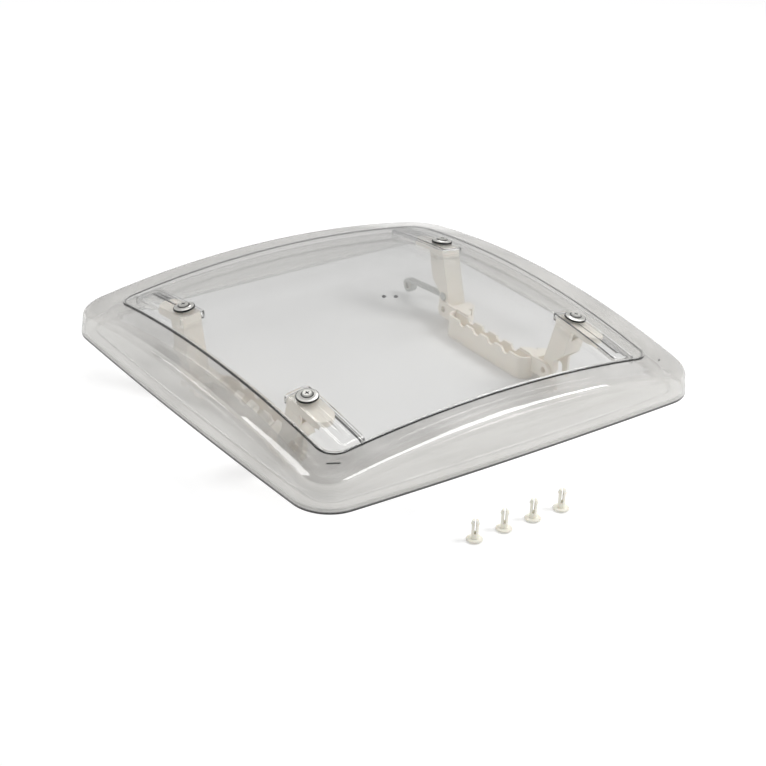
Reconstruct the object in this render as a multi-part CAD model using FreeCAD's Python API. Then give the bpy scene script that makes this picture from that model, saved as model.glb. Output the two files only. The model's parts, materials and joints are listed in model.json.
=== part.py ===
import FreeCAD, Part
import math
import os

# A double-glazed roof light dome for a 400 mm square caravan roof opening: an outer dome,
# an inner pane bonded inside it, four screwed brackets, two notched rails, two steel hinge
# arms and four loose clip pins. Millimetres, +Z up, hinge side at +Y. The origin is the
# middle of the dome's rim plane, which closes on the roof frame.

V = FreeCAD.Vector
X_AXIS = V(1, 0, 0)
Y_AXIS = V(0, 1, 0)
Z_AXIS = V(0, 0, 1)

# Outer dome
RIM_HALF = 245.0
RIM_BOW = 4.6
RIM_CORNER_R = 42.0
SKIRT_DRAFT = 0.11
DOME_R = 1210.0
SHOULDER_APEX = 71.8
SHOULDER_FILLET = 9.0
PLATEAU_INSET = 38.5
PLATEAU_BOW = 2.2
PLATEAU_CORNER_R = 22.0
PLATEAU_STEP = 2.0
DOME_WALL = 3.0

# Inner pane
PANE_WALL = 2.5
PANE_GAP = 8.0
PANE_FOOT_INSET = 16.0
PANE_LEAN = 0.46
PANE_FOOT_CORNER_R = 26.0
PANE_TOP_CORNER_R = 14.0
FLANGE_Z = 2.0
FLANGE_T = 2.5
BOND_WIDTH = 1.2
CHANNEL_SIDE_GAP = 1.2
CHANNEL_END_GAP = 2.8
CHANNEL_RIM_GAP = 3.5
CHANNEL_CORNER_R = 6.0
VENT_X = 23.5
VENT_Y = 15.3
VENT_SPACING = 12.9
VENT_TURN = -30.0
VENT_R = 1.5
VENT_HEAD_R = 2.4
VENT_HEAD_T = 0.8

# Screw joints through both panes
SCREW_INSET_X = 72.5
SCREW_INSET_Y = 126.5
SCREW_R = 2.5
SCREW_HEAD_R = 5.5
SCREW_HEAD_H = 2.6
SCREW_LENGTH = 19.0
RECESS_WIDTH = 1.2
RECESS_SPAN = 5.0
RECESS_DEPTH = 1.6
HOLE_R = 4.0
SEAL_R = 11.7
SEAL_T = 1.4
CUP_R = 10.9
CUP_T = 1.0
CUP_RING_R = 7.4
CUP_RING_H = 1.7
SPACER_R = 9.5
SPACER_T = 1.0
INSERT_R = 4.6
WASHER_CLEARANCE = 0.3
THREAD_GAP = 0.04
SEAT_GAP = 0.1

# Brackets
BRACKET_WIDTH = 22.8
BRACKET_WALL = 3.0
PIN_WALL = 5.0
PAD_T = 6.0
PAD_LENGTH = 56.0
LEG_SETBACK = 16.5
LEG_TOP_DROP = 2.0
LEG_TOP_DEPTH = 26.0
LEG_LEAN = 0.3
LEG_LEAN_OUTER = 0.28
ARCH_TOP_Z = 29.0
ARCH_FOOT_Z = 10.0
FOOT_TOP_Z = -2.4
FOOT_DEPTH = 12.5
FOOT_DROP = 9.0
BARB_CLEARANCE = 0.6

# Rails
RAIL_WIDTH = 16.5
RAIL_WALL = 3.0
RAIL_SETBACK = 48.5
RAIL_FLOOR_Z = -36.5
RAIL_TOP_Z = -11.0
RAIL_CORNER_R = 12.0
NOTCH_R = 7.0
NOTCH_PITCH = 26.0
NOTCH_COUNT = 4
NOTCH_LIFT = 2.2
LUG_T = 3.7
LUG_R = 9.0
WEDGE_SETBACK = 23.0
WEDGE_SLOPE_LENGTH = 19.0
WEDGE_REACH = 23.0
WEDGE_GAP = 3.0
WEDGE_TOP_Z = -9.0
WEDGE_HEIGHT = 19.0
WEDGE_SLOT_WIDTH = 4.0
WEDGE_SLOT_DEPTH = 8.0

# Pin joints between brackets and rails, and the loose clip pins
PIN_Z = -18.0
PIN_R = 3.5
PIN_HOLE_CLEARANCE = 0.2
PIN_STEM_LENGTH = 20.0
PIN_HEAD_R = 8.2
PIN_HEAD_T = 2.5
PIN_SLIT_WIDTH = 1.6
PIN_SLIT_DEPTH = 14.0
PIN_SLIT_TURN = 53.0
PIN_BARB_R = 4.4
PIN_BARB_LENGTH = 4.5
PIN_TIP_R = 3.0
PIN_ROW_REACH = 57.0
PIN_ROW_X = -46.8
PIN_ROW_PITCH = 36.0
PIN_COUNT = 4

# Hinge arms
ARM_WIDTH = 8.0
ARM_T = 3.5
ARM_SPACER_T = 1.6
ARM_SIDE_GAP = 0.3
EYE_CLEARANCE = 0.44
PIVOT_Z = -4.5
PIVOT_R = 3.0
PIVOT_CLEARANCE = 0.05
PIVOT_EYE_R = 6.0
PIVOT_HEAD_R = 5.0
PIVOT_HEAD_T = 1.6
KNUCKLE_INSET = 70.5
KNUCKLE_Z = -22.5
KNUCKLE_R = 8.0
BUSH_R = 5.6
BUSH_LIP = 0.5

# Places that follow from the sizes above
PLATEAU_HALF = RIM_HALF - PLATEAU_INSET
SCREW_X = RIM_HALF - SCREW_INSET_X
SCREW_Y = RIM_HALF - SCREW_INSET_Y
LEG_TOP_Y = SCREW_Y - LEG_SETBACK
RAIL_HALF_LENGTH = SCREW_Y - RAIL_SETBACK
WEDGE_START_Y = RAIL_HALF_LENGTH - WEDGE_SETBACK
KNUCKLE_Y = RIM_HALF - KNUCKLE_INSET
PIN_ROW_Y = -RIM_HALF - PIN_ROW_REACH
DOME_TOP_Z = SHOULDER_APEX + PLATEAU_STEP
DOME_CENTRE = V(0, 0, DOME_TOP_Z - DOME_R)
PANEL_DEPTH = DOME_WALL + PANE_GAP
CHANNEL_DEPTH = DOME_WALL + SPACER_T
PAD_DEPTH = CHANNEL_DEPTH + PANE_WALL + SEAT_GAP
SCREW_TOP_Z = DOME_CENTRE.z + math.sqrt(DOME_R ** 2 - SCREW_X ** 2 - SCREW_Y ** 2)
LEG_TOP_Z = SCREW_TOP_Z - PAD_DEPTH - LEG_TOP_DROP
WEB_INNER_TOP_Y = LEG_TOP_Y + BRACKET_WALL
PIN_Y = WEB_INNER_TOP_Y - LEG_LEAN * (LEG_TOP_Z - PIN_Z) + PIN_BARB_R + BARB_CLEARANCE
PIVOT_Y = WEB_INNER_TOP_Y - LEG_LEAN * (LEG_TOP_Z - PIVOT_Z) + PIVOT_EYE_R + EYE_CLEARANCE
BRACKET_X0 = SCREW_X - BRACKET_WIDTH / 2
BRACKET_X1 = SCREW_X + BRACKET_WIDTH / 2
PIN_HOLE_R = PIN_R + PIN_HOLE_CLEARANCE
RAIL_OUTER_X = BRACKET_X0 - SEAT_GAP
RAIL_INNER_X = RAIL_OUTER_X - RAIL_WIDTH
ARM_X0 = BRACKET_X0 + PIN_WALL + ARM_SPACER_T + ARM_SIDE_GAP
ARM_X1 = ARM_X0 + ARM_WIDTH
ABOVE_ALL = 2 * DOME_TOP_Z
EPS = 1.0
SIDES = (("front_left", -1, -1), ("front_right", 1, -1),
         ("rear_left", -1, 1), ("rear_right", 1, 1))


# Basic shapes


def arc_outline(half, bow, corner_r, inset, z):
    """Closed wire of a square with bowed sides and round corners, moved in by an even inset."""
    side_r = (half * half + bow * bow) / (2 * bow)
    side_c = half + bow - side_r
    reach = side_r - corner_r
    corner_c = (side_c + math.sqrt(2 * reach * reach - side_c * side_c)) / 2
    tangent = math.atan2(corner_c, corner_c - side_c)
    side = side_r - inset
    corner = corner_r - inset
    edges = []
    for quarter in range(4):
        turn = FreeCAD.Rotation(Z_AXIS, 90 * quarter)

        def point(cx, cy, radius, angle):
            flat = turn.multVec(V(cx + radius * math.cos(angle), cy + radius * math.sin(angle), 0))
            return V(flat.x, flat.y, z)

        edges.append(Part.Arc(point(side_c, 0, side, -tangent), point(side_c, 0, side, 0),
                              point(side_c, 0, side, tangent)).toShape())
        edges.append(Part.Arc(point(corner_c, corner_c, corner, tangent),
                              point(corner_c, corner_c, corner, math.pi / 4),
                              point(corner_c, corner_c, corner, math.pi / 2 - tangent)).toShape())
    return Part.Wire(edges)


def prism(wire, height):
    return Part.Face(wire).extrude(V(0, 0, height))


def ball(depth, apex_drop=0.0):
    """Ball whose top surface lies a given depth below the plateau's outer surface."""
    return Part.makeSphere(DOME_R - depth, DOME_CENTRE - V(0, 0, apex_drop))


def box(x0, x1, y0, y1, z0, z1):
    return Part.makeBox(x1 - x0, y1 - y0, z1 - z0, V(x0, y0, z0))


def rod(radius, start, axis, length):
    return Part.makeCylinder(radius, length, start, axis)


def plate_yz(points, x0, x1):
    """Flat plate with an outline in the YZ plane, between two X values."""
    corners = [V(x0, y, z) for y, z in points]
    return Part.Face(Part.makePolygon(corners + corners[:1])).extrude(V(x1 - x0, 0, 0))


def plate_xy(points, z0, z1):
    """Flat plate with an outline in the XY plane, between two Z values."""
    corners = [V(x, y, z0) for x, y in points]
    return Part.Face(Part.makePolygon(corners + corners[:1])).extrude(V(0, 0, z1 - z0))


def round_corners(block, radius, x, ys):
    """Round the upright edges of a block at one X and the given Y values."""
    def upright(edge):
        at = edge.BoundBox
        near_y = any(abs(at.YMin - y) < 0.01 and abs(at.YMax - y) < 0.01 for y in ys)
        return near_y and abs(at.XMin - x) < 0.01 and abs(at.XMax - x) < 0.01

    return block.makeFillet(radius, [edge for edge in block.Edges if upright(edge)])


def turned(profile, base, axis):
    """Solid of revolution from (radius, height) points, standing on a base along an axis."""
    points = [V(radius, 0, height) for radius, height in profile]
    solid = Part.Face(Part.makePolygon(points + points[:1])).revolve(V(0, 0, 0), Z_AXIS, 360)
    solid.Placement = FreeCAD.Placement(base, FreeCAD.Rotation(Z_AXIS, axis))
    return solid


def mirrored(shape, side_x, side_y):
    if side_x < 0:
        shape = shape.mirror(V(0, 0, 0), X_AXIS)
    if side_y < 0:
        shape = shape.mirror(V(0, 0, 0), Y_AXIS)
    return shape


def screw_line():
    """Point on the plateau's outer surface at a screw, and the outward normal there."""
    point = V(SCREW_X, SCREW_Y, SCREW_TOP_Z)
    return point, (point - DOME_CENTRE).normalize()


def screw_rod(radius, bottom, top):
    """Rod along the screw's axis between two heights over the plateau's surface."""
    point, normal = screw_line()
    return rod(radius, point + normal * bottom, normal, top - bottom)


def all_screw_holes(radius):
    hole = screw_rod(radius, -PAD_DEPTH - PAD_T, SEAL_T + CUP_T)
    return Part.makeCompound([mirrored(hole, side_x, side_y) for _, side_x, side_y in SIDES])


# Outer dome


def skirt_block(wall):
    """Drafted block inside the dome's skirt, moved in by the wall."""
    foot = arc_outline(RIM_HALF, RIM_BOW, RIM_CORNER_R, wall - SKIRT_DRAFT * EPS, -EPS)
    top_z = DOME_TOP_Z + EPS
    top = arc_outline(RIM_HALF, RIM_BOW, RIM_CORNER_R, wall + SKIRT_DRAFT * top_z, top_z)
    return Part.makeLoft([foot, top], True, True)


def dome_block(wall):
    """Solid under the dome's surface, moved in by the wall."""
    body = skirt_block(wall).common(ball(wall, PLATEAU_STEP))
    long_edges = [e for e in body.Edges if e.BoundBox.ZMin > EPS and e.Length > RIM_CORNER_R / 2]
    top_edges = [e for e in long_edges if e.BoundBox.XLength > EPS or e.BoundBox.YLength > EPS]
    body = body.makeFillet(SHOULDER_FILLET - wall, top_edges)
    plateau = prism(arc_outline(PLATEAU_HALF, PLATEAU_BOW, PLATEAU_CORNER_R, wall, -EPS), ABOVE_ALL)
    raised = plateau.common(ball(wall))
    return body.fuse(raised).removeSplitter()


def make_outer_dome():
    shell = dome_block(0.0).cut(dome_block(DOME_WALL))
    shell = shell.cut(box(-2 * RIM_HALF, 2 * RIM_HALF, -2 * RIM_HALF, 2 * RIM_HALF, -2 * EPS, 0))
    return shell.cut(all_screw_holes(HOLE_R))


# Inner pane


def pane_block(wall):
    """Solid under the inner pane's surface, moved in by the wall."""
    def outline(z, corner_r):
        inset = PANE_FOOT_INSET + PANE_LEAN * (z - FLANGE_Z)
        return arc_outline(RIM_HALF - inset, RIM_BOW, corner_r, wall, z)

    sides = Part.makeLoft([outline(0, PANE_FOOT_CORNER_R), outline(DOME_TOP_Z, PANE_TOP_CORNER_R)],
                          True, True)
    return sides.common(ball(PANEL_DEPTH + wall))


def channel_block(wall):
    """The raised channels over the four bracket pads, moved in by the wall."""
    side = CHANNEL_SIDE_GAP + PANE_WALL - wall
    x0 = BRACKET_X0 - side
    x1 = BRACKET_X1 + side
    y0 = LEG_TOP_Y - CHANNEL_END_GAP - PANE_WALL + wall
    y1 = PLATEAU_HALF - DOME_WALL - CHANNEL_RIM_GAP - wall
    block = box(x0, x1, y0, y1, FLANGE_Z, ABOVE_ALL)
    for x in (x0, x1):
        block = round_corners(block, CHANNEL_CORNER_R - wall, x, (y0, y1))
    block = block.common(ball(CHANNEL_DEPTH + wall))
    return [mirrored(block, side_x, side_y) for _, side_x, side_y in SIDES]


def flange_prism():
    """Slab over the whole inner pane at its flange, which meets the bond bead outside."""
    inset = DOME_WALL + SKIRT_DRAFT * (FLANGE_Z + FLANGE_T) + BOND_WIDTH
    return prism(arc_outline(RIM_HALF, RIM_BOW, RIM_CORNER_R, inset, FLANGE_Z), FLANGE_T)


def vent_places():
    """The two breather plugs' places on the pane's underside, with the normal there."""
    step = FreeCAD.Rotation(Z_AXIS, VENT_TURN).multVec(V(VENT_SPACING / 2, 0, 0))
    places = []
    for sign in (-1, 1):
        flat = V(VENT_X, VENT_Y, 0) + step * sign
        radius = DOME_R - PANEL_DEPTH - PANE_WALL
        rise = math.sqrt(radius ** 2 - flat.x ** 2 - flat.y ** 2)
        point = V(flat.x, flat.y, DOME_CENTRE.z + rise)
        places.append((point, (point - DOME_CENTRE).normalize()))
    return places


def make_inner_pane():
    outside = pane_block(0.0).multiFuse(channel_block(0.0) + [flange_prism()])
    inside = pane_block(PANE_WALL).multiFuse(channel_block(PANE_WALL))
    pane = outside.cut(inside)
    pane = pane.cut(box(-RIM_HALF, RIM_HALF, -RIM_HALF, RIM_HALF, -EPS, FLANGE_Z))
    pane = pane.cut(all_screw_holes(HOLE_R))
    for point, normal in vent_places():
        pane = pane.cut(rod(VENT_R, point - normal * EPS, normal, PANE_WALL + 2 * EPS))
    return pane


def make_rim_bond():
    slab = box(-RIM_HALF - RIM_BOW, RIM_HALF + RIM_BOW, -RIM_HALF - RIM_BOW, RIM_HALF + RIM_BOW,
               FLANGE_Z, FLANGE_Z + FLANGE_T)
    return skirt_block(DOME_WALL).common(slab).cut(flange_prism())


def make_vent_plugs():
    profile = [(0, -VENT_HEAD_T), (VENT_HEAD_R, -VENT_HEAD_T), (VENT_HEAD_R, 0),
               (VENT_R, 0), (VENT_R, PANE_WALL), (0, PANE_WALL)]
    return Part.makeCompound([turned(profile, point, normal) for point, normal in vent_places()])


# Screw joints


def make_screw():
    point, normal = screw_line()
    base = SEAL_T + CUP_T
    edge = SCREW_HEAD_H * 0.4
    shoulder = SCREW_HEAD_R * 0.8
    profile = [(0, base - SCREW_LENGTH), (SCREW_R * 0.6, base - SCREW_LENGTH),
               (SCREW_R, base - SCREW_LENGTH + SCREW_R), (SCREW_R, base), (SCREW_HEAD_R, base),
               (SCREW_HEAD_R, base + edge), (shoulder, base + SCREW_HEAD_H), (0, base + SCREW_HEAD_H)]
    screw = turned(profile, point, normal)
    recess_z = base + SCREW_HEAD_H - RECESS_DEPTH
    for span_x, span_y in ((RECESS_SPAN, RECESS_WIDTH), (RECESS_WIDTH, RECESS_SPAN)):
        arm = Part.makeBox(span_x, span_y, RECESS_DEPTH + EPS,
                           V(-span_x / 2, -span_y / 2, recess_z))
        arm.Placement = FreeCAD.Placement(point, FreeCAD.Rotation(Z_AXIS, normal))
        screw = screw.cut(arm)
    return screw


def make_cup_washer():
    point, normal = screw_line()
    bore = SCREW_R + WASHER_CLEARANCE
    seat = SCREW_HEAD_R + WASHER_CLEARANCE
    crest = (seat + CUP_RING_R) / 2
    profile = [(bore, 0), (CUP_R, 0), (CUP_R, CUP_T * 0.4), (CUP_RING_R + CUP_T, CUP_T),
               (CUP_RING_R, CUP_RING_H), (crest, CUP_RING_H), (seat, CUP_T), (bore, CUP_T)]
    return turned(profile, point + normal * SEAL_T, normal)


def make_seal_washer():
    disc = screw_rod(SEAL_R, -EPS, SEAL_T).cut(screw_rod(SCREW_R + SEAT_GAP, -2 * EPS, SEAL_T + EPS))
    return disc.cut(ball(0.0))


def make_spacer_ring():
    ring = screw_rod(SPACER_R, -CHANNEL_DEPTH - EPS, 0)
    ring = ring.cut(screw_rod(SCREW_R + WASHER_CLEARANCE, -CHANNEL_DEPTH - 2 * EPS, EPS))
    return ring.common(ball(DOME_WALL)).cut(ball(CHANNEL_DEPTH))


def make_threaded_insert():
    sleeve = screw_rod(INSERT_R, -PAD_DEPTH - 2 * PAD_T, 0)
    sleeve = sleeve.cut(screw_rod(SCREW_R + THREAD_GAP, -PAD_DEPTH - 3 * PAD_T, EPS))
    return sleeve.common(ball(PAD_DEPTH)).cut(ball(PAD_DEPTH + PAD_T))


# Brackets


def leg_front(z):
    """Y of the leg's face towards the middle of the dome."""
    return LEG_TOP_Y - LEG_LEAN * (LEG_TOP_Z - z)


def leg_back(z):
    """Y of the leg's open side, above the knee."""
    return LEG_TOP_Y + LEG_TOP_DEPTH - LEG_LEAN_OUTER * (LEG_TOP_Z - z)


def make_bracket(side_y):
    x0 = BRACKET_X0
    x1 = BRACKET_X1
    high = LEG_TOP_Z + PAD_T + EPS
    foot_z = PIN_Z - FOOT_DROP
    pad = box(x0, x1, LEG_TOP_Y - PAD_T, LEG_TOP_Y + PAD_LENGTH, 0, high)
    for x in (x0, x1):
        pad = round_corners(pad, BRACKET_WIDTH / 2 - EPS / 4, x, (LEG_TOP_Y + PAD_LENGTH,))
    pad = pad.cut(ball(PAD_DEPTH + PAD_T))

    leg = plate_yz([(leg_front(high), high), (leg_back(high), high),
                    (leg_back(ARCH_FOOT_Z), ARCH_FOOT_Z), (PIN_Y + FOOT_DEPTH, FOOT_TOP_Z),
                    (PIN_Y + FOOT_DEPTH, foot_z), (leg_front(foot_z), foot_z)], x0, x1)
    hollow = plate_yz([(leg_front(high) + BRACKET_WALL, high), (leg_back(high) + PAD_LENGTH, high),
                       (leg_back(high) + PAD_LENGTH, foot_z - EPS),
                       (leg_front(foot_z - EPS) + BRACKET_WALL, foot_z - EPS)],
                      x0 + PIN_WALL, x1 - BRACKET_WALL)
    leg = leg.cut(hollow.common(ball(PAD_DEPTH + PAD_T)))

    closing = plate_yz([(leg_back(ARCH_TOP_Z) - BRACKET_WALL, ARCH_TOP_Z),
                        (leg_back(ARCH_TOP_Z), ARCH_TOP_Z), (leg_back(ARCH_FOOT_Z), ARCH_FOOT_Z),
                        (leg_back(ARCH_FOOT_Z) - BRACKET_WALL, ARCH_FOOT_Z)], x0, x1)
    arch_r = BRACKET_WIDTH / 2
    arch_z = ARCH_TOP_Z - arch_r
    reach = V(SCREW_X, LEG_TOP_Y - LEG_TOP_DEPTH, arch_z)
    arch = rod(arch_r, reach, Y_AXIS, 3 * LEG_TOP_DEPTH)
    arch = arch.fuse(box(x0, x1, reach.y, reach.y + 3 * LEG_TOP_DEPTH, ARCH_FOOT_Z - EPS, arch_z))
    leg = leg.fuse(closing.common(arch))

    beyond = plate_yz([(leg_front(high), high), (leg_front(foot_z), foot_z),
                       (leg_front(foot_z) - PAD_LENGTH, foot_z),
                       (leg_front(high) - PAD_LENGTH, high)], x0 - EPS, x1 + EPS)
    bracket = pad.fuse(leg).cut(beyond).common(ball(PAD_DEPTH))
    bracket = bracket.cut(screw_rod(INSERT_R, -PAD_DEPTH - 2 * PAD_T, 0))
    pin_hole = rod(PIN_HOLE_R, V(x0 - EPS, PIN_Y, PIN_Z), X_AXIS, PIN_WALL + 2 * EPS)
    bracket = bracket.cut(pin_hole)
    notch_r = PIN_BARB_R + BARB_CLEARANCE
    notch = rod(notch_r, V(x1 - BRACKET_WALL, PIN_Y, PIN_Z), X_AXIS, BRACKET_WALL + EPS)
    notch = notch.fuse(box(x1 - BRACKET_WALL, x1 + EPS, PIN_Y - notch_r, PIN_Y + notch_r,
                           foot_z - EPS, PIN_Z))
    bracket = bracket.cut(notch)
    if side_y > 0:
        rivet_hole = rod(PIVOT_R, V(x0 - EPS, PIVOT_Y, PIVOT_Z), X_AXIS, PIN_WALL + 2 * EPS)
        bracket = bracket.cut(rivet_hole)
    return bracket.removeSplitter()


# Rails


def make_rail():
    def tray(wall, floor_z, top_z):
        x0 = RAIL_INNER_X + wall
        ys = (-RAIL_HALF_LENGTH + wall, RAIL_HALF_LENGTH - wall)
        block = box(x0, RAIL_OUTER_X - wall, ys[0], ys[1], floor_z, top_z)
        return round_corners(block, RAIL_CORNER_R - wall, x0, ys)

    rail = tray(0.0, RAIL_FLOOR_Z, RAIL_TOP_Z)
    additions = []
    cuts = [tray(RAIL_WALL, RAIL_FLOOR_Z + RAIL_WALL, ABOVE_ALL)]
    for i in range(NOTCH_COUNT):
        y = (i - (NOTCH_COUNT - 1) / 2) * NOTCH_PITCH
        cuts.append(rod(NOTCH_R, V(RAIL_INNER_X - EPS, y, RAIL_TOP_Z + NOTCH_LIFT), X_AXIS,
                        RAIL_WIDTH + 2 * EPS))

    x0 = RAIL_OUTER_X - LUG_T
    lug = box(x0, RAIL_OUTER_X, RAIL_HALF_LENGTH - RAIL_WALL, PIN_Y, PIN_Z - LUG_R, PIN_Z + LUG_R)
    lug = lug.fuse(rod(LUG_R, V(x0, PIN_Y, PIN_Z), X_AXIS, LUG_T))
    lug = lug.cut(rod(PIN_HOLE_R, V(x0 - EPS, PIN_Y, PIN_Z), X_AXIS, LUG_T + 2 * EPS))

    wedge_x = RAIL_OUTER_X + WEDGE_REACH
    slope_y = WEDGE_START_Y + WEDGE_SLOPE_LENGTH
    stop_y = leg_front(WEDGE_TOP_Z - WEDGE_HEIGHT) - WEDGE_GAP
    foot_z = WEDGE_TOP_Z - WEDGE_HEIGHT
    wedge = plate_xy([(RAIL_OUTER_X - RAIL_WALL / 2, WEDGE_START_Y), (RAIL_OUTER_X, WEDGE_START_Y),
                      (wedge_x, slope_y), (wedge_x, stop_y),
                      (RAIL_OUTER_X - RAIL_WALL / 2, stop_y)], foot_z, WEDGE_TOP_Z)
    slot_x = RAIL_OUTER_X + WEDGE_REACH / 2
    slot_y = WEDGE_START_Y + WEDGE_SLOPE_LENGTH / 2 + WEDGE_SLOT_WIDTH
    slot = box(slot_x - WEDGE_SLOT_WIDTH / 2, slot_x + WEDGE_SLOT_WIDTH / 2, WEDGE_START_Y, slot_y,
               WEDGE_TOP_Z - WEDGE_SLOT_DEPTH, WEDGE_TOP_Z + EPS)
    wedge = wedge.cut(slot)
    for side_y in (-1, 1):
        additions += [mirrored(lug, 1, side_y), mirrored(wedge, 1, side_y)]
    for cutter in cuts:
        rail = rail.cut(cutter)
    return rail.multiFuse(additions).removeSplitter()


# Hinge arms


def make_hinge_arm():
    eye = V(ARM_X0, PIVOT_Y, PIVOT_Z)
    knuckle = V(ARM_X0, KNUCKLE_Y, KNUCKLE_Z)
    run = knuckle - eye
    fall = math.asin(-run.z / run.Length)
    fall -= math.asin((PIVOT_EYE_R + KNUCKLE_R - ARM_T) / run.Length)
    up = V(0, math.sin(fall), math.cos(fall))
    under_eye = eye - up * PIVOT_EYE_R
    over_knuckle = knuckle + up * KNUCKLE_R
    corners = [under_eye, under_eye + up * ARM_T, over_knuckle, over_knuckle - up * ARM_T]
    strap = plate_yz([(c.y, c.z) for c in corners], ARM_X0, ARM_X1)
    arm = strap.multiFuse([rod(PIVOT_EYE_R, eye, X_AXIS, ARM_WIDTH),
                           rod(KNUCKLE_R, knuckle, X_AXIS, ARM_WIDTH)])
    for centre, radius in ((eye, PIVOT_R + PIVOT_CLEARANCE), (knuckle, BUSH_R)):
        arm = arm.cut(rod(radius, centre - X_AXIS * EPS, X_AXIS, ARM_WIDTH + 2 * EPS))
    return arm.removeSplitter()


def make_arm_rivet():
    start = V(BRACKET_X0 - PIVOT_HEAD_T, PIVOT_Y, PIVOT_Z)
    outer = ARM_X1 + ARM_SIDE_GAP
    shank = rod(PIVOT_R, start, X_AXIS, outer - start.x)
    inner_head = rod(PIVOT_HEAD_R, start, X_AXIS, PIVOT_HEAD_T)
    outer_head = rod(PIVOT_HEAD_R, V(outer, PIVOT_Y, PIVOT_Z), X_AXIS, PIVOT_HEAD_T)
    rivet = shank.multiFuse([inner_head, outer_head])
    rims = [e for e in rivet.Edges if isinstance(e.Curve, Part.Circle)
            and abs(e.Curve.Radius - PIVOT_HEAD_R) < 0.01
            and (abs(e.CenterOfMass.x - start.x) < 0.01
                 or abs(e.CenterOfMass.x - outer - PIVOT_HEAD_T) < 0.01)]
    return rivet.makeFillet(PIVOT_HEAD_T / 2, rims)


def make_arm_spacer():
    start = V(BRACKET_X0 + PIN_WALL, PIVOT_Y, PIVOT_Z)
    ring = rod(PIVOT_EYE_R, start, X_AXIS, ARM_SPACER_T)
    return ring.cut(rod(PIVOT_R + THREAD_GAP, start, X_AXIS, ARM_SPACER_T))


def make_knuckle_bush():
    start = V(ARM_X0 - BUSH_LIP, KNUCKLE_Y, KNUCKLE_Z)
    length = ARM_WIDTH + 2 * BUSH_LIP
    return rod(BUSH_R, start, X_AXIS, length).cut(rod(PIN_HOLE_R, start, X_AXIS, length))


# Loose clip pins, standing on their heads


def make_clip_pin(index):
    x = PIN_ROW_X + (index - (PIN_COUNT - 1) / 2) * PIN_ROW_PITCH
    base = V(x, PIN_ROW_Y, RAIL_FLOOR_Z)
    tip = PIN_HEAD_T + PIN_STEM_LENGTH
    barb = tip - PIN_BARB_LENGTH
    profile = [(0, 0), (PIN_HEAD_R * 0.8, 0), (PIN_HEAD_R, PIN_HEAD_T * 0.4),
               (PIN_HEAD_R, PIN_HEAD_T * 0.8), (PIN_HEAD_R * 0.94, PIN_HEAD_T), (PIN_R, PIN_HEAD_T),
               (PIN_R, barb), (PIN_BARB_R, barb + PIN_BARB_R - PIN_R), (PIN_TIP_R, tip), (0, tip)]
    pin = turned(profile, base, Z_AXIS)
    slit = Part.makeBox(2 * PIN_HEAD_R, PIN_SLIT_WIDTH, PIN_SLIT_DEPTH + EPS,
                        V(-PIN_HEAD_R, -PIN_SLIT_WIDTH / 2, tip - PIN_SLIT_DEPTH))
    slit.Placement = FreeCAD.Placement(base, FreeCAD.Rotation(Z_AXIS, PIN_SLIT_TURN))
    return pin.cut(slit)


def build():
    """Every piece by its name."""
    pieces = {"outer_dome": make_outer_dome(), "inner_pane": make_inner_pane(),
              "rim_bond": make_rim_bond(), "vent_plugs": make_vent_plugs()}
    stack = {"screw": make_screw(), "cup_washer": make_cup_washer(),
             "seal_washer": make_seal_washer(), "spacer_ring": make_spacer_ring(),
             "threaded_insert": make_threaded_insert()}
    brackets = {1: make_bracket(1), -1: make_bracket(-1)}
    for place, side_x, side_y in SIDES:
        pieces["bracket_" + place] = mirrored(brackets[side_y], side_x, side_y)
        for name, shape in stack.items():
            pieces[name + "_" + place] = mirrored(shape, side_x, side_y)
    pair = {"rail": make_rail(), "hinge_arm": make_hinge_arm(), "arm_rivet": make_arm_rivet(),
            "arm_spacer": make_arm_spacer(), "knuckle_bush": make_knuckle_bush()}
    for side, side_x in (("left", -1), ("right", 1)):
        for name, shape in pair.items():
            pieces[name + "_" + side] = mirrored(shape, side_x, 1)
    for index in range(PIN_COUNT):
        pieces["clip_pin_" + str(index + 1)] = make_clip_pin(index)
    return pieces


if __name__ == "__main__":
    os.makedirs("parts", exist_ok=True)
    for name, shape in build().items():
        shape.exportStep(os.path.join("parts", name + ".step"))
        print(name, shape.isValid(), len(shape.Solids), round(shape.Volume, 1))
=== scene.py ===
import bpy
import bmesh
import json
import math
from mathutils import Matrix, Vector


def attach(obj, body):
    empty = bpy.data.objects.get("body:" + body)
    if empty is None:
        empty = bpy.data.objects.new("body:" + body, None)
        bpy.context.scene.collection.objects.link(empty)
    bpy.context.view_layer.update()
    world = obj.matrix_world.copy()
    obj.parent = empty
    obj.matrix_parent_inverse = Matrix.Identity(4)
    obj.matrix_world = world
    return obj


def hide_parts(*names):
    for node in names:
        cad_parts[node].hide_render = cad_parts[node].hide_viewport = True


# A clear double-glazed roof light dome on a pale studio floor, with its ivory brackets and
# rails, steel hinge arms and four loose clip pins. Shapes are in millimetres. The floor, the
# lamps, the camera and the textures are in metres.

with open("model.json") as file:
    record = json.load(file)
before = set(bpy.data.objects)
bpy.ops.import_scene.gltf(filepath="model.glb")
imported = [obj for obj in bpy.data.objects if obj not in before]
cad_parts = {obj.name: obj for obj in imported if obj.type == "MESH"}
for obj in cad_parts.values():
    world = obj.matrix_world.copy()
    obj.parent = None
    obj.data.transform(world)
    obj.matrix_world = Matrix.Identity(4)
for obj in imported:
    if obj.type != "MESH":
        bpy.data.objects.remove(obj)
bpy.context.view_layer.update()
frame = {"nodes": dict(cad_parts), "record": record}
MM = 0.001

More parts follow.
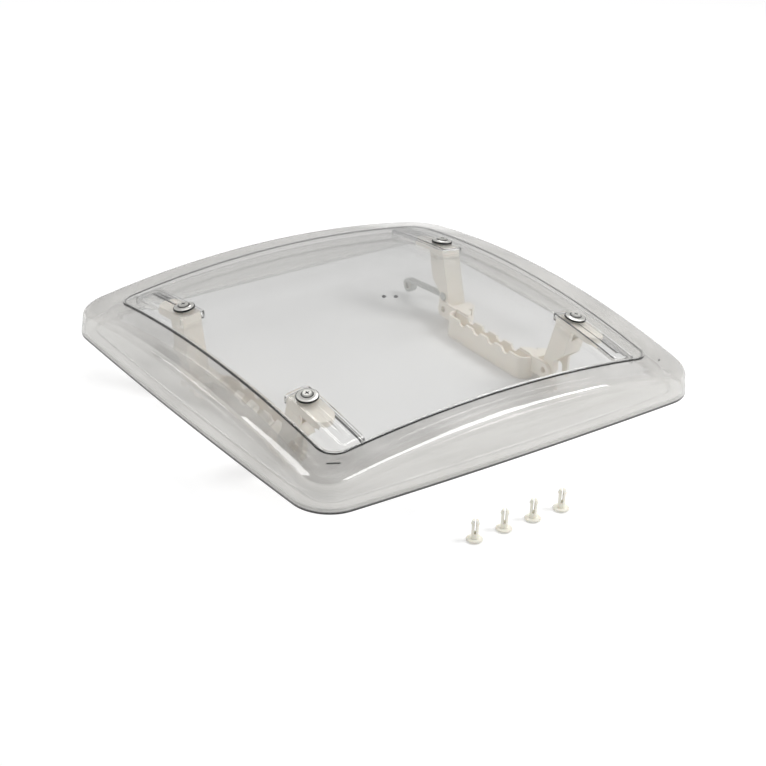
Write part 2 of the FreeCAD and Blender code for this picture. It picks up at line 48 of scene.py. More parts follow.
# The panes' shape, as in the CAD source
RIM_HALF, RIM_BOW, RIM_CORNER_R = 245.0, 4.6, 42.0
SKIRT_DRAFT = 0.11
DOME_R = 1210.0
DOME_TOP_Z = 73.8
SHOULDER_FILLET = 9.0
PLATEAU_HALF, PLATEAU_BOW, PLATEAU_CORNER_R = 206.5, 2.2, 22.0
PLATEAU_STEP = 2.0
DOME_WALL = 2.95  # 0.05 less than in the source, so that the bond's facets stay clear of it
PANE_WALL = 2.5
PANEL_DEPTH = 11.0
PANE_FOOT_INSET, PANE_LEAN = 16.0, 0.46
PANE_FOOT_CORNER_R, PANE_TOP_CORNER_R = 26.0, 14.0
FLANGE_Z, FLANGE_T, FLANGE_INSET = 2.0, 2.5, 4.695
CHANNEL_X, CHANNEL_HALF_WIDTH = 172.5, 15.1
CHANNEL_Y0, CHANNEL_Y1, CHANNEL_CORNER_R, CHANNEL_DEPTH = 96.7, 200.0, 6.0, 4.0
SCREW_X, SCREW_Y, HOLE_R = 172.5, 118.5, 4.0
CENTRE = Vector((0, 0, DOME_TOP_Z - DOME_R))
SIDES = ((-1, -1), (1, -1), (-1, 1), (1, 1))

# Points along one side and round one corner of each ring
SIDE_POINTS, CORNER_POINTS = 36, 24
SHARP_ANGLE = 32.0

# Rings of the outer dome, from the rim to the middle
RIM_EASE = 0.6
SKIRT_STEPS, SHOULDER_STEPS, SLOPE_STEPS = 5, 8, 10
SHOULDER_HIGHEST_Z = 70
SLOPE_LAST_RING = 0.98
PLATEAU_ROUND, PLATEAU_ROUND_STEPS = 0.7, 4
# Width of the first band of the raised panel, which is hazy as a painted highlight line inside
# the step
PAINTED_HIGHLIGHT_WIDTH = 1.3
PLATEAU_STEPS = 18

# A band lies between two rings. These are the first band of the slope, the first of the step up
# and the first of the raised panel, which is hazy as a painted highlight line, and how many
# bands are painted shade at the step.
SLOPE_BAND = 1 + SKIRT_STEPS + SHOULDER_STEPS
STEP_BAND = SLOPE_BAND + SLOPE_STEPS + 1
PAINTED_HIGHLIGHT_BAND = STEP_BAND + PLATEAU_ROUND_STEPS + 1
STEP_PAINTED_SHADE_BANDS = 3

# Rings of the inner pane, from the flange to the middle
FOOT_BEND, FOOT_BEND_STEPS = 3, 4
WALL_STEPS = 6
TOP_BEND_DOWN, TOP_BEND_IN, TOP_BEND_STEPS = 5, 6.0, 6
PANEL_STEPS = 20
OUTSIDE_FOOT_RINGS, INSIDE_FOOT_RINGS = 3 + FOOT_BEND_STEPS, 3

# Raised channels
CHANNEL_BEND, CHANNEL_BEND_STEPS = 2.5, 4
CHANNEL_CORNER_STEPS, CHANNEL_SIDE_STEPS, CHANNEL_TOP_STEPS = 6, 9, 3
CHANNEL_LEAST_CORNER_R, CHANNEL_MIDDLE_GAP = 0.4, 0.8
CHANNEL_OVERLAP = 1.2
CHANNEL_CUT_BELOW = 12

# Rods that cut the screw holes
ROD_BELOW, ROD_ABOVE, ROD_SIDES = -15, 5, 32

# Corner dashes: how wide each ring is and how far it stands off the slope
MARK_R, MARK_SIDES = 0.8, 24
MARK_RINGS = ((1.0, -0.3), (1.0, 0.12), (0.8, 0.25))

# Material slots of the panes. The dark slot paints shade. The skirt's slot, on the outer dome
# alone, is a lighter copy of the hazy acrylic that paints light.
CLEAR, HAZY, PAINTED_SHADE, SKIRT_PAINTED_LIGHT = 0, 1, 2, 3

# Studio
FLOOR_SIZE = 9.0
FLOOR_Z = -36.5
FLOOR_GAP = 0.0002
FLOOR_LIFT = 0.24
SKY_STRENGTH, BACKDROP_STRENGTH = 0.5, 1.0

# Camera, fitted to the rim's curves in the photograph
SENSOR_MM = 36.0
PHOTO_PX, FOCAL_PX = 766, 1969.283
AZIMUTH, ELEVATION, ROLL = -36.7130, 27.4506, 2.4342
CAMERA_BACK, CAMERA_RIGHT, CAMERA_DOWN = 2.13278, 0.005052, 0.025810
CLIP_END = 30.0


# Materials


class Nodes:
    """Short calls for building a material's node tree."""

    def __init__(self, name):
        self.material = bpy.data.materials.new(name)
        self.material.use_nodes = True
        self.tree = self.material.node_tree
        self.tree.nodes.clear()
        self.output = self.add("ShaderNodeOutputMaterial")

    def add(self, kind, settings=None, **inputs):
        node = self.tree.nodes.new(kind)
        for key, value in (settings or {}).items():
            setattr(node, key, value)
        for key, value in inputs.items():
            self.put(node, key.replace("_", " "), value)
        return node

    def put(self, node, key, value):
        """Set or link an input, given by its name, or by i and its number."""
        numbered = key[0] == "i" and key[1:].isdigit()
        socket = node.inputs[int(key[1:]) if numbered else key]
        if isinstance(value, bpy.types.NodeSocket):
            self.tree.links.new(value, socket)
        else:
            socket.default_value = value

    def noise(self, scale, detail=3.0, roughness=0.5, stretch=(1, 1, 1)):
        where = self.add("ShaderNodeTexCoord").outputs["Object"]
        mapping = self.add("ShaderNodeMapping", Vector=where)
        mapping.inputs["Scale"].default_value = stretch
        return self.add("ShaderNodeTexNoise", Vector=mapping.outputs[0], Scale=scale,
                        Detail=detail, Roughness=roughness).outputs["Fac"]

    def ramp(self, value, low, high):
        return self.add("ShaderNodeMapRange", Value=value, To_Min=low, To_Max=high).outputs[0]

    def blend(self, value, low, high):
        """Colour between two colours. A colour mix has them at its inputs 6 and 7."""
        mix = self.add("ShaderNodeMix", {"data_type": "RGBA"}, Factor=value)
        mix.inputs[6].default_value = (*low, 1)
        mix.inputs[7].default_value = (*high, 1)
        return mix.outputs[2]

    def bump(self, value, strength, distance):
        return self.add("ShaderNodeBump", Height=value, Strength=strength,
                        Distance=distance).outputs[0]

    def finish(self, shader):
        self.tree.links.new(shader, self.output.inputs["Surface"])
        return self.material


def clear_plastic(name, low, high, pass_tint, roughness, clearness, ripple=0.012,
                  stretch=(1, 1, 1), painted_light_gradient=(0, 0, 0)):
    """Moulded acrylic that lets lamps through to what lies behind it.

    pass_tint is the share of their light that gets through. painted_light_gradient makes the
    colour lighter along a direction, per metre, which paints light and shade onto the plastic.
    """
    m = Nodes(name)
    glass = m.add("ShaderNodeBsdfPrincipled", Roughness=roughness, IOR=1.49)
    # Painted light and shade: the colour gets lighter along a set direction in object space
    painted_light_ramp = m.add("ShaderNodeVectorMath", {"operation": "DOT_PRODUCT"},
                i0=m.add("ShaderNodeTexCoord").outputs["Object"], i1=painted_light_gradient)
    haze = m.noise(scale=9.0, detail=3.0, roughness=0.55, stretch=stretch)
    haze_and_painted_light = m.add("ShaderNodeMath", {"operation": "ADD", "use_clamp": True},
                 i0=haze, i1=painted_light_ramp.outputs["Value"])
    m.put(glass, "Base Color", m.blend(haze_and_painted_light.outputs[0], low, high))
    glass.inputs["Transmission Weight"].default_value = clearness
    waves = m.noise(scale=16.0, detail=1.0)
    m.put(glass, "Normal", m.bump(waves, strength=ripple, distance=0.002))
    clear = m.add("ShaderNodeBsdfTransparent", Color=(pass_tint, pass_tint, pass_tint, 1))
    path = m.add("ShaderNodeLightPath")
    either = m.add("ShaderNodeMath", {"operation": "MAXIMUM"}, i0=path.outputs["Is Shadow Ray"],
                   i1=path.outputs["Is Diffuse Ray"])
    mix = m.add("ShaderNodeMixShader", Fac=either.outputs[0])
    m.put(mix, "i1", glass.outputs[0])
    m.put(mix, "i2", clear.outputs[0])
    return m.finish(mix.outputs[0])


def moulded_plastic(name, low, high, roughness):
    """Fine-grained plastic with softened edges."""
    m = Nodes(name)
    base = m.add("ShaderNodeBsdfPrincipled")
    m.put(base, "Base Color", m.blend(m.noise(scale=30.0, detail=4.0), low, high))
    m.put(base, "Roughness", m.ramp(m.noise(scale=120.0, detail=3.0), roughness - 0.06,
                                    roughness + 0.06))
    grain = m.noise(scale=900.0, detail=2.0)
    grained = m.add("ShaderNodeBump", Height=grain, Strength=0.12, Distance=0.0003)
    m.put(grained, "Normal", m.add("ShaderNodeBevel", Radius=0.0009).outputs[0])
    m.put(base, "Normal", grained.outputs[0])
    base.inputs["Subsurface Weight"].default_value = 0.12
    base.inputs["Subsurface Radius"].default_value = (0.003, 0.002, 0.0015)
    return m.finish(base.outputs[0])


def metal(name, low, high, roughness, stretch, scale, strength=0.1, painted_recess_shade=0.0):
    """Streaky metal. painted_recess_shade is how dark the painted shade in its recesses gets."""
    m = Nodes(name)
    base = m.add("ShaderNodeBsdfPrincipled", Metallic=1.0)
    streaks = m.noise(scale, detail=4.0, roughness=0.6, stretch=stretch)
    # Painted shade: ambient occlusion darkens the colour in recesses and between parts
    openness = m.add("ShaderNodeAmbientOcclusion", Distance=0.003).outputs["AO"]
    shade = m.add("ShaderNodeMath", {"operation": "POWER"}, i0=openness, i1=5.0)
    shaded = m.add("ShaderNodeMix", {"data_type": "RGBA", "blend_type": "MULTIPLY"},
                   Factor=painted_recess_shade)
    m.put(shaded, "i6", m.blend(streaks, low, high))
    m.put(shaded, "i7", m.blend(shade.outputs[0], (0, 0, 0), (1, 1, 1)))
    m.put(base, "Base Color", shaded.outputs[2])
    wear = m.noise(scale * 0.6, detail=3.0, roughness=0.6, stretch=stretch)
    m.put(base, "Roughness", m.ramp(wear, roughness * 0.75, roughness * 1.25))
    m.put(base, "Normal", m.bump(streaks, strength, distance=0.0002))
    return m.finish(base.outputs[0])


def rubber(name, low, high):
    m = Nodes(name)
    base = m.add("ShaderNodeBsdfPrincipled")
    m.put(base, "Base Color", m.blend(m.noise(scale=200.0), low, high))
    m.put(base, "Roughness", m.ramp(m.noise(scale=400.0), 0.5, 0.7))
    m.put(base, "Normal", m.bump(m.noise(scale=1500.0), strength=0.3, distance=0.0002))
    return m.finish(base.outputs[0])


acrylic = clear_plastic("clear_acrylic", (0.925, 0.925, 0.92), (0.95, 0.95, 0.945),
                        pass_tint=0.99, roughness=0.02, clearness=1.0)
# Painted shade and light on the slopes: darker at the front and left, lighter towards the rear
# and the right
hazy = clear_plastic("hazy_acrylic_painted_shade", (0.52, 0.513, 0.497), (0.99, 0.982, 0.963),
                     pass_tint=0.96, roughness=0.025, clearness=0.8, ripple=0.02,
                     stretch=(1, 1, 14), painted_light_gradient=(0.9, 0.7, 0))
# The skirt and shoulder get their own copy of the hazy acrylic, lighter and evener and without
# the gradient: painted light, not a different plastic
skirt_haze_painted_light = clear_plastic("hazy_skirt_painted_light", (0.73, 0.723, 0.705), (0.91, 0.902, 0.882),
                           pass_tint=0.96, roughness=0.025, clearness=0.8, ripple=0.02,
                           stretch=(1, 1, 14))
pale_haze = clear_plastic("hazy_pane", (0.96, 0.955, 0.94), (0.99, 0.985, 0.97),
                          pass_tint=0.98, roughness=0.03, clearness=0.75, ripple=0.005)
# Near-black acrylic: painted shade at the rim's edge, at the step up and along the right
# channels' inner edge, where clear edges turn the light away. The corner dashes use it too.
dark_and_painted_shade_acrylic = clear_plastic("acrylic_dark_and_painted_shade", (0.02, 0.02, 0.02), (0.05, 0.05, 0.05),
                          pass_tint=0.5, roughness=0.1, clearness=0.25)
milky = clear_plastic("bond_adhesive", (0.80, 0.80, 0.79), (0.85, 0.85, 0.84),
                      pass_tint=0.9, roughness=0.35, clearness=0.8)
ivory = moulded_plastic("ivory_plastic", (0.97, 0.90, 0.80), (0.99, 0.935, 0.845),
                        roughness=0.45)
cream = moulded_plastic("cream_plastic", (0.94, 0.905, 0.79), (0.98, 0.96, 0.86),
                        roughness=0.4)
strap_steel = metal("zinc_plated_steel", (0.50, 0.51, 0.49), (0.62, 0.63, 0.61),
                    roughness=0.38, stretch=(1, 0.05, 1), scale=600.0)
# Painted shade in the screw heads' cross recesses and round their washers
bright_steel = metal("stainless_steel", (0.84, 0.83, 0.79), (0.93, 0.92, 0.88),
                     roughness=0.34, stretch=(1, 1, 1), scale=300.0, strength=0.04, painted_recess_shade=0.9)
brass = metal("brass", (0.62, 0.45, 0.18), (0.76, 0.58, 0.28),
              roughness=0.3, stretch=(1, 1, 6), scale=400.0)
black_rubber = rubber("black_rubber", (0.012, 0.012, 0.012), (0.03, 0.03, 0.03))
natural = moulded_plastic("natural_nylon", (0.60, 0.59, 0.55), (0.70, 0.69, 0.65),
                          roughness=0.4)
grey = moulded_plastic("grey_plastic", (0.03, 0.03, 0.03), (0.06, 0.06, 0.06), roughness=0.5)


# Shape helpers


def outline(half, bow, corner_r, inset):
    """Points and outward normals round a bowed square with round corners, moved in by inset."""
    side_r = (half * half + bow * bow) / (2 * bow)
    side_c = half + bow - side_r
    reach = side_r - corner_r
    corner_c = (side_c + math.sqrt(2 * reach * reach - side_c * side_c)) / 2
    tangent = math.atan2(corner_c, corner_c - side_c)
    points = []
    for quarter in range(4):
        turn = Matrix.Rotation(math.pi / 2 * quarter, 2)
        steps = [(side_c, 0, side_r - inset, -tangent + 2 * tangent * i / SIDE_POINTS)
                 for i in range(SIDE_POINTS)]
        steps += [(corner_c, corner_c, corner_r - inset,
                   tangent + (math.pi / 2 - 2 * tangent) * i / CORNER_POINTS)
                  for i in range(CORNER_POINTS)]
        for cx, cy, radius, angle in steps:
            normal = Vector((math.cos(angle), math.sin(angle)))
            points.append((turn @ (Vector((cx, cy)) + normal * radius), turn @ normal))
    return points


def on_sphere(flat, radius, drop=0.0):
    """The point above a flat place on a sphere about CENTRE, which is lowered by drop."""
    rise = math.sqrt(radius * radius - flat.x * flat.x - flat.y * flat.y)
    return Vector((flat.x, flat.y, CENTRE.z - drop + rise))


def bisect(low, high, value):
    """Where a rising value crosses zero."""
    for _ in range(40):
        middle = (low + high) / 2
        if value(middle) > 0:
            high = middle
        else:
            low = middle
    return (low + high) / 2


def rounded(before, corner, after, steps):
    """Points of a smooth bend that leaves one point, heads for the corner and ends at another."""
    bend = []
    for i in range(steps + 1):
        t = i / steps
        bend.append(before * (1 - t) ** 2 + corner * 2 * t * (1 - t) + after * t * t)
    return bend


def columns_to_rings(columns):
    return [[column[r] for column in columns] for r in range(len(columns[0]))]


def link(name, mesh):
    piece = bpy.data.objects.new(name, mesh)
    bpy.context.scene.collection.objects.link(piece)
    return piece


def ring_walls(n, count):
    """Four-cornered faces between each ring of n points and the next."""
    faces = []
    for r in range(count - 1):
        for i in range(n):
            j = (i + 1) % n
            faces.append((r * n + i, r * n + j, (r + 1) * n + j, (r + 1) * n + i))
    return faces


def shell(name, outer, inner, outer_tip, inner_tip, materials, zones):
    """Closed thin shell from two sets of rings that run from the rim to a tip.

    zones gives the material slot of each band between two rings, counted from the rim.
    """
    rings = list(reversed(inner)) + outer
    n = len(rings[0])
    verts = [p * MM for ring in rings for p in ring] + [inner_tip * MM, outer_tip * MM]
    faces = ring_walls(n, len(rings))
    slots = []
    for r in range(len(rings) - 1):
        band = len(inner) - 2 - r if r < len(inner) - 1 else max(r - len(inner), 0)
        slots += [zones(band, r >= len(inner))] * n
    last = (len(rings) - 1) * n
    for i in range(n):
        j = (i + 1) % n
        faces.append((j, i, len(verts) - 2))
        faces.append((last + i, last + j, len(verts) - 1))
    mesh = bpy.data.meshes.new(name)
    mesh.from_pydata(verts, [], faces)
    for material in materials:
        mesh.materials.append(material)
    mesh.polygons.foreach_set("material_index", slots + [CLEAR] * (2 * n))
    return link(name, mesh)


def capped(name, rings):
    """Closed solid from a stack of rings with flat caps, which are its first two faces."""
    n = len(rings[0])
    verts = [p * MM for ring in rings for p in ring]
    caps = [tuple(reversed(range(n))), tuple(range((len(rings) - 1) * n, len(rings) * n))]
    mesh = bpy.data.meshes.new(name)
    mesh.from_pydata(verts, [], caps + ring_walls(n, len(rings)))
    return link(name, mesh)


def tidy_normals(piece):
    work = bmesh.new()
    work.from_mesh(piece.data)
    bmesh.ops.remove_doubles(work, verts=work.verts, dist=1e-6)
    bmesh.ops.recalc_face_normals(work, faces=work.faces)
    work.to_mesh(piece.data)
    work.free()
    piece.data.shade_smooth()
    piece.data.set_sharp_from_angle(angle=math.radians(SHARP_ANGLE))


def apply_boolean(piece, tools, operation):
    """Cut or join the tools, one after another, and remove them."""
    for tool in tools:
        tidy_normals(tool)
        step = piece.modifiers.new("step", "BOOLEAN")
        step.operation = operation
        step.solver = "EXACT"
        step.object = tool
        bpy.context.view_layer.update()
        result = bpy.data.meshes.new_from_object(
            piece.evaluated_get(bpy.context.evaluated_depsgraph_get()))
        piece.modifiers.clear()
        piece.data = result
        bpy.data.objects.remove(tool)


def screw_tools(radius):
    """Four rods along the screws' axes."""
    rods = []
    for side_x, side_y in SIDES:
        point = on_sphere(Vector((side_x * SCREW_X, side_y * SCREW_Y)), DOME_R)
        normal = (point - CENTRE).normalized()
        across = normal.orthogonal().normalized()
        other = normal.cross(across)
        rings = []
        for height in (ROD_BELOW, ROD_ABOVE):
            rings.append([point + normal * height
                          + (across * math.cos(a) + other * math.sin(a)) * radius
                          for a in (2 * math.pi * i / ROD_SIDES for i in range(ROD_SIDES))])
        rods.append(capped("rod", rings))
    return rods


# Outer dome


def dome_rings(wall):
    """Rings of one face of the outer dome from the rim to the middle, moved in by the wall."""
    low_centre = CENTRE - Vector((0, 0, PLATEAU_STEP))
    radius = SHOULDER_FILLET - wall
    slant = math.hypot(1, SKIRT_DRAFT)
    rim = outline(RIM_HALF, RIM_BOW, RIM_CORNER_R, 0)
    edge = outline(PLATEAU_HALF, PLATEAU_BOW, PLATEAU_CORNER_R, wall)
    crown = outline(PLATEAU_HALF, PLATEAU_BOW, PLATEAU_CORNER_R, wall + PLATEAU_ROUND)
    columns = []
    for (p, n), (e, _), (c, _) in zip(rim, edge, crown):
        def ball_centre(z):
            flat = p - n * (wall + SKIRT_DRAFT * z + radius * slant)
            return Vector((flat.x, flat.y, z))

        ball = ball_centre(bisect(0, SHOULDER_HIGHEST_Z, lambda z: (
            ball_centre(z) - low_centre).length - (DOME_R - wall - radius)))
        n1 = Vector((n.x, n.y, SKIRT_DRAFT)) / slant
        n2 = (ball - low_centre).normalized()
        toe = p - n * (wall + RIM_EASE * (1 if wall == 0 else -1))
        foot = p - n * wall
        first = Vector((foot.x, foot.y, 0))
        start = ball + n1 * radius
        column = [Vector((toe.x, toe.y, 0)), first.lerp(start, 3 * RIM_EASE / start.z)]
        column += [first.lerp(start, i / SKIRT_STEPS) for i in range(1, SKIRT_STEPS)]
        column += [ball + n1.slerp(n2, i / SHOULDER_STEPS) * radius
                   for i in range(SHOULDER_STEPS + 1)]
        end = Vector((column[-1].x, column[-1].y))
        along_slope = [i / SLOPE_STEPS for i in range(1, SLOPE_STEPS)] + [SLOPE_LAST_RING, 1.0]
        column += [on_sphere(end.lerp(e, t), DOME_R - wall, PLATEAU_STEP) for t in along_slope]
        top_edge = on_sphere(e, DOME_R - wall)
        top_in = on_sphere(c, DOME_R - wall)
        below = Vector((top_edge.x, top_edge.y, top_edge.z - PLATEAU_ROUND))
        column += rounded(below, top_edge, top_in, PLATEAU_ROUND_STEPS)
        # This ring bounds the painted highlight line inside the step
        column.append(on_sphere(c * (1 - PAINTED_HIGHLIGHT_WIDTH / c.length), DOME_R - wall))
        column += [on_sphere(c * (1 - i / PLATEAU_STEPS), DOME_R - wall)
                   for i in range(1, PLATEAU_STEPS)]
        columns.append(column)
    return columns_to_rings(columns)


def dome_zones(band, _outside):
    """Painted shade at the rim's edge and the step, a painted highlight just inside the step, the
    skirt's painted-light copy on skirt and shoulder, clear on the raised panel, else hazy.
    """
    if band == 0 or STEP_BAND <= band < STEP_BAND + STEP_PAINTED_SHADE_BANDS:
        return PAINTED_SHADE
    if band < SLOPE_BAND:
        return SKIRT_PAINTED_LIGHT
    return HAZY if band < STEP_BAND or band == PAINTED_HIGHLIGHT_BAND else CLEAR


outer_dome = shell("clear_outer_dome", dome_rings(0.0), dome_rings(DOME_WALL),
                   CENTRE + Vector((0, 0, DOME_R)), CENTRE + Vector((0, 0, DOME_R - DOME_WALL)),
                   (acrylic, hazy, dark_and_painted_shade_acrylic, skirt_haze_painted_light), dome_zones)
tidy_normals(outer_dome)
apply_boolean(outer_dome, screw_tools(HOLE_R), "DIFFERENCE")
tidy_normals(outer_dome)


# Inner pane


def pane_rings(wall):
    """Rings of one face of the inner pane from its flange to the middle."""
    def level(z, corner_r):
        inset = PANE_FOOT_INSET + PANE_LEAN * (z - FLANGE_Z)
        return outline(RIM_HALF - inset, RIM_BOW, corner_r, wall)

    radius = DOME_R - PANEL_DEPTH - wall
    flange = outline(RIM_HALF, RIM_BOW, RIM_CORNER_R, FLANGE_INSET)
    columns = []
    for (f, _), (a, _), (b, _) in zip(flange, level(0, PANE_FOOT_CORNER_R),
                                      level(DOME_TOP_Z, PANE_TOP_CORNER_R)):
        low = Vector((a.x, a.y, 0))
        high = Vector((b.x, b.y, DOME_TOP_Z))

        def at(z):
            return low.lerp(high, z / DOME_TOP_Z)

        top_z = bisect(0, DOME_TOP_Z, lambda z: (at(z) - CENTRE).length - radius)
        corner = at(top_z)
        flat = Vector((corner.x, corner.y))
        inward = flat * (1 - TOP_BEND_IN / flat.length)
        if wall == 0:
            foot = at(FLANGE_Z + FLANGE_T)
            beside = foot + (Vector((f.x, f.y, foot.z)) - foot).normalized() * FOOT_BEND
            column = [Vector((f.x, f.y, FLANGE_Z)), Vector((f.x, f.y, FLANGE_Z + FLANGE_T))]
            column += rounded(beside, foot, at(foot.z + FOOT_BEND), FOOT_BEND_STEPS)
        else:
            column = rounded(at(FLANGE_Z), at(FLANGE_Z + 1), at(FLANGE_Z + 2),
                             INSIDE_FOOT_RINGS - 1)
        begin = column[-1].z
        column += [at(begin + (top_z - TOP_BEND_DOWN - begin) * i / WALL_STEPS)
                   for i in range(1, WALL_STEPS)]
        column += rounded(at(top_z - TOP_BEND_DOWN), corner, on_sphere(inward, radius),
                          TOP_BEND_STEPS)
        column += [on_sphere(inward * (1 - i / PANEL_STEPS), radius)
                   for i in range(1, PANEL_STEPS)]
        columns.append(column)
    return columns_to_rings(columns)


def channel_tool(wall, bottom_depth, top_depth, side_x, side_y):
    """Block of a raised channel, moved in by the wall, with its top edge rounded.

    The two channels on the right get painted shade: a dark line along their inner edge.
    """
    cx = side_x * CHANNEL_X
    cy = side_y * (CHANNEL_Y0 + CHANNEL_Y1) / 2
    hx = CHANNEL_HALF_WIDTH - wall
    hy = (CHANNEL_Y1 - CHANNEL_Y0) / 2 - wall

    def ring(inset, depth):
        points = []
        r = max(CHANNEL_CORNER_R - wall - inset, CHANNEL_LEAST_CORNER_R)
        for quarter, (sx, sy) in enumerate(((1, 1), (-1, 1), (-1, -1), (1, -1))):
            ox = cx + sx * (hx - inset - r)
            oy = cy + sy * (hy - inset - r)
            for i in range(CHANNEL_CORNER_STEPS + 1):
                angle = math.pi / 2 * (quarter + i / CHANNEL_CORNER_STEPS)
                points.append((ox + r * math.cos(angle), oy + r * math.sin(angle)))
            if quarter in (0, 2):
                continue
            for i in range(1, CHANNEL_SIDE_STEPS):
                t = i / CHANNEL_SIDE_STEPS
                points.append((ox + r * sx, oy - sy * 2 * (hy - inset - r) * t))
        return [on_sphere(Vector(q), DOME_R - depth) for q in points]

    rings = [ring(0, bottom_depth), ring(0, top_depth + CHANNEL_BEND)]
    for i in range(1, CHANNEL_BEND_STEPS + 1):
        angle = math.pi / 2 * i / CHANNEL_BEND_STEPS
        rings.append(ring(CHANNEL_BEND * (1 - math.cos(angle)),
                          top_depth + CHANNEL_BEND * (1 - math.sin(angle))))
    to_middle = hx - CHANNEL_BEND - CHANNEL_MIDDLE_GAP
    for i in range(1, CHANNEL_TOP_STEPS + 1):
        rings.append(ring(CHANNEL_BEND + to_middle * i / CHANNEL_TOP_STEPS, top_depth))
    tool = capped("channel", rings)
    for material in (acrylic, pale_haze, dark_and_painted_shade_acrylic):
        tool.data.materials.append(material)
    # Painted shade: a dark line on the upper bend along the inner edge of the right channels
    if wall == 0 and side_x > 0:
        for face in tool.data.polygons:
            band = (face.index - 2) // len(rings[0])
            upper_bend = CHANNEL_BEND_STEPS - 1 <= band <= CHANNEL_BEND_STEPS
            if upper_bend and face.center.x < (CHANNEL_X - hx + CHANNEL_BEND) * MM:
                face.material_index = PAINTED_SHADE
    return tool


def pane_zones(band, outside):
    """Hazy on the flange and the wall, clear from the top bend on."""
    foot_rings = OUTSIDE_FOOT_RINGS if outside else INSIDE_FOOT_RINGS
    return HAZY if band < foot_rings + WALL_STEPS + 1 else CLEAR


inner_pane = shell("clear_inner_pane", pane_rings(0.0), pane_rings(PANE_WALL),
                   CENTRE + Vector((0, 0, DOME_R - PANEL_DEPTH)),
                   CENTRE + Vector((0, 0, DOME_R - PANEL_DEPTH - PANE_WALL)),
                   (acrylic, pale_haze, dark_and_painted_shade_acrylic), pane_zones)
tidy_normals(inner_pane)
apply_boolean(inner_pane, [channel_tool(0.0, PANEL_DEPTH + CHANNEL_OVERLAP, CHANNEL_DEPTH,
                                        sx, sy) for sx, sy in SIDES], "UNION")
apply_boolean(inner_pane, [channel_tool(PANE_WALL, PANEL_DEPTH + CHANNEL_CUT_BELOW,
                                        CHANNEL_DEPTH + PANE_WALL, sx, sy)
                           for sx, sy in SIDES], "DIFFERENCE")
apply_boolean(inner_pane, screw_tools(HOLE_R), "DIFFERENCE")
tidy_normals(inner_pane)

for piece, node in ((outer_dome, "outer_dome"), (inner_pane, "inner_pane")):
    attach(piece, "dome")
    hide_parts(node)


# Small dark dashes on the slope near the two front corners


def corner_mark(name, middle, along, half_length):
    across = Vector((-along.y, along.x))
    rings = []
    for width, lift in MARK_RINGS:
        ring = []
        for i in range(MARK_SIDES):
            angle = 2 * math.pi * i / MARK_SIDES
            end = math.copysign(half_length, math.cos(angle)) + math.cos(angle) * MARK_R * width
            flat = middle + along * end + across * (math.sin(angle) * MARK_R * width)
            ring.append(on_sphere(flat, DOME_R, PLATEAU_STEP - lift))
        rings.append(ring)
    mark = capped(name, rings)
    tidy_normals(mark)
    mark.data.materials.append(dark_and_painted_shade_acrylic)
    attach(mark, "dome")


corner_mark("mark_front_left", middle=Vector((-204.5, -211.9)), along=Vector((0.842, -0.539)),
            half_length=6.0)
corner_mark("mark_front_right", middle=Vector((212.6, -210.7)), along=Vector((0.842, 0.539)),
            half_length=1.2)


# Finish of the pieces that come from the CAD source

FINISH = {"clear_acrylic": acrylic, "bond": milky, "ivory_plastic": ivory,
          "cream_plastic": cream, "steel": strap_steel, "bright_steel": bright_steel,
          "black_rubber": black_rubber, "brass": brass, "spacer_plastic": natural,
          "grey_plastic": grey}
for entry in frame["record"]["subparts"]:
    mesh = frame["nodes"][entry["node"]].data
    mesh.materials.clear()
    mesh.materials.append(FINISH[entry["material_slot"]])


# Studio


def floor_material():
    """Matt white that the camera alone sees a little brighter."""
    m = Nodes("pale_floor")
    matt = m.add("ShaderNodeBsdfDiffuse", Color=(0.9, 0.9, 0.9, 1))
    glow = m.add("ShaderNodeEmission", Color=(1, 1, 1, 1))
    path = m.add("ShaderNodeLightPath")
    lift = m.add("ShaderNodeMath", {"operation": "MULTIPLY"}, i0=path.outputs["Is Camera Ray"],
                 i1=FLOOR_LIFT)
    m.put(glow, "Strength", lift.outputs[0])
    both = m.add("ShaderNodeAddShader")
    m.put(both, "i0", matt.outputs[0])
    m.put(both, "i1", glow.outputs[0])
    return m.finish(both.outputs[0])


def make_floor():
    half = FLOOR_SIZE / 2
    z = FLOOR_Z * MM - FLOOR_GAP
    mesh = bpy.data.meshes.new("floor")
    mesh.from_pydata([(-half, -half, z), (half, -half, z), (half, half, z), (-half, half, z)],
                     [], [(0, 1, 2, 3)])
    floor = link("floor", mesh)
    floor.data.materials.append(floor_material())


def make_world():
    """White backdrop for the camera, dimmer sky for everything else."""
    world = bpy.data.worlds.new("studio")
    bpy.context.scene.world = world
    world.use_nodes = True
    tree = world.node_tree
    tree.nodes.clear()
    mix = tree.nodes.new("ShaderNodeMixShader")
    path = tree.nodes.new("ShaderNodeLightPath")
    tree.links.new(path.outputs["Is Camera Ray"], mix.inputs[0])
    for place, strength in ((1, SKY_STRENGTH), (2, BACKDROP_STRENGTH)):
        light = tree.nodes.new("ShaderNodeBackground")
        light.inputs["Color"].default_value = (1, 1, 1, 1)
        light.inputs["Strength"].default_value = strength
        tree.links.new(light.outputs[0], mix.inputs[place])
    out = tree.nodes.new("ShaderNodeOutputWorld")
    tree.links.new(mix.outputs[0], out.inputs[0])


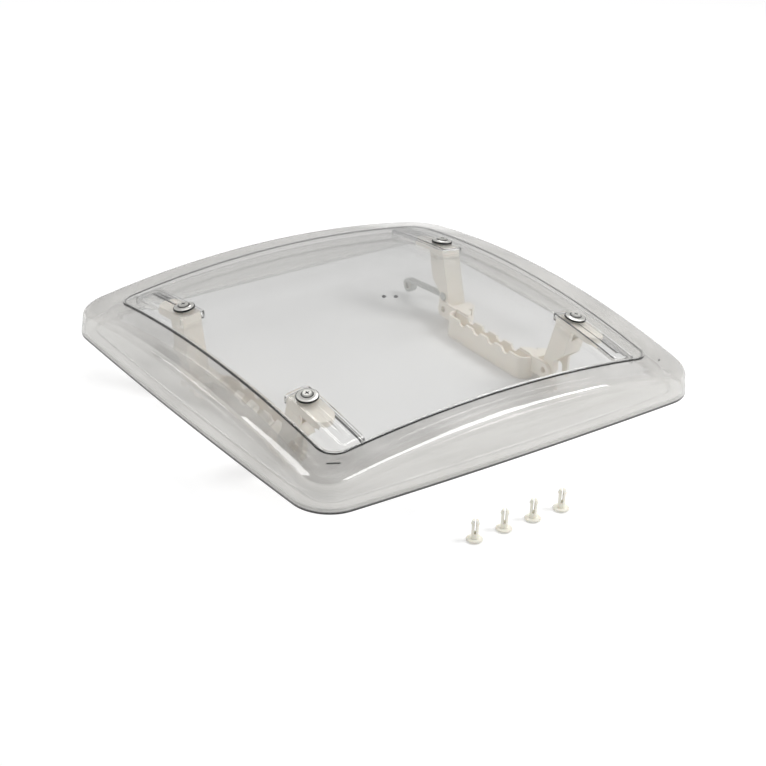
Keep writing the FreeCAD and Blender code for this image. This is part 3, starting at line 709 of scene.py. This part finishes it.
def softbox(name, place, target, width, height, power, along=None):
    """Area lamp that faces its target, with its long side level or near the given direction."""
    data = bpy.data.lights.new(name, "AREA")
    data.shape = "RECTANGLE"
    data.size = width
    data.size_y = height
    data.energy = power
    lamp = bpy.data.objects.new(name, data)
    bpy.context.scene.collection.objects.link(lamp)
    lamp.location = place
    away = (Vector(place) - Vector(target)).normalized()
    long_side = Vector(along) if along else Vector((0, 0, 1)).cross(away)
    long_side = (long_side - away * long_side.dot(away)).normalized()
    short_side = away.cross(long_side)
    lamp.rotation_euler = Matrix((long_side, short_side, away)).transposed().to_euler()
    return lamp


make_floor()
make_world()
key = softbox("front_key", place=(1.06, -0.92, 1.42), target=(0, 0, 0.03),
              width=0.7, height=0.7, power=16.0)
softbox("rear_right_strip", place=(1.0, 0.60, 1.645), target=(0, -0.23, 0.05),
        width=1.5, height=0.17, power=7.0, along=(1.0, 0.0, -0.6))
softbox("rear_left_strip", place=(0.165, 1.04, 1.775), target=(-0.23, 0, 0.05),
        width=0.52, height=0.17, power=2.0, along=(0.0, 0.684, -0.40))
fill = softbox("rear_left_box", place=(-1.0, 1.55, 1.2), target=(0, 0, 0.03),
               width=0.6, height=0.6, power=9.0)
# Only the strips show as reflections
key.visible_glossy = False
fill.visible_glossy = False

bpy.context.scene.view_settings.view_transform = "Standard"


# Camera at the photograph's viewing angle


def make_camera():
    data = bpy.data.cameras.new("camera")
    data.sensor_width = SENSOR_MM
    data.lens = SENSOR_MM * FOCAL_PX / PHOTO_PX
    data.clip_end = CLIP_END
    camera = bpy.data.objects.new("camera", data)
    bpy.context.scene.collection.objects.link(camera)
    azimuth, elevation, roll = (math.radians(a) for a in (AZIMUTH, ELEVATION, ROLL))
    back = Vector((math.sin(azimuth) * math.cos(elevation),
                   -math.cos(azimuth) * math.cos(elevation), math.sin(elevation)))
    right = Vector((math.cos(azimuth), math.sin(azimuth), 0))
    up = back.cross(right)
    right, up = (right * math.cos(roll) + up * math.sin(roll),
                 up * math.cos(roll) - right * math.sin(roll))
    place = back * CAMERA_BACK + right * CAMERA_RIGHT - up * CAMERA_DOWN
    camera.matrix_world = Matrix((
        (right.x, up.x, back.x, place.x), (right.y, up.y, back.y, place.y),
        (right.z, up.z, back.z, place.z), (0, 0, 0, 1)))
    bpy.context.scene.camera = camera


make_camera()
